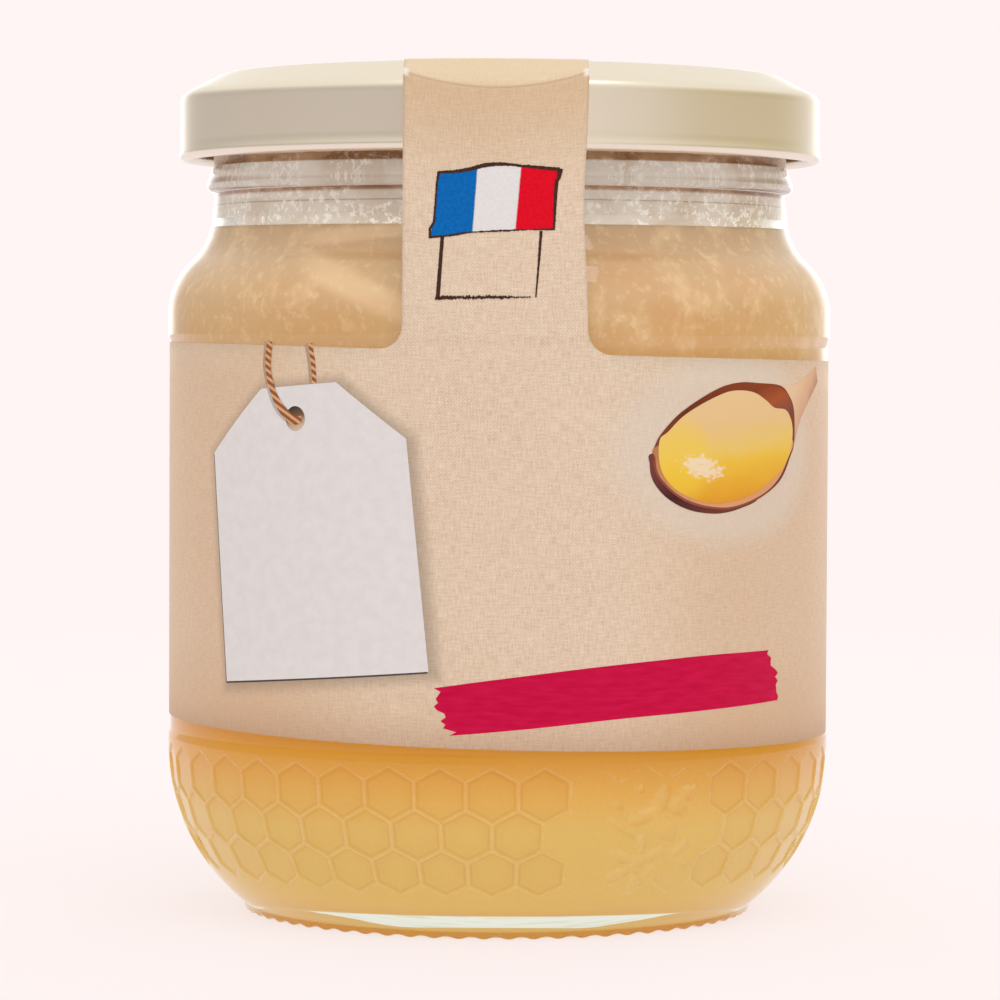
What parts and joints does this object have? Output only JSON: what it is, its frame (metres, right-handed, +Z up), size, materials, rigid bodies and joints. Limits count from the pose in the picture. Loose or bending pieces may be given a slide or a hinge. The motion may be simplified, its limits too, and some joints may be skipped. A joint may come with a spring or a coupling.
{
  "type": "honey jar",
  "caption": "Glass honey jar with a moulded honeycomb heel, filled with creamy honey, closed by a twist-off lid and a paper label whose strip runs over the lid.",
  "frame": {"origin": "on the jar's axis, at the plane it stands on", "axes": "+Z up, the front of the label faces -Y, +X to the right of the label"},
  "size_m": [0.0822, 0.0823, 0.1036],
  "materials": {
    "glass": "clear, smooth",
    "honey": "creamy, finely crystallised",
    "lid": "satin pale gold lacquer",
    "label": "printed paper with a fine linen pattern"
  },
  "bodies": {
    "root": {"glass_jar": "glass", "honey": "honey", "lid": "lid", "label": "label"}
  },
  "joints": []
}
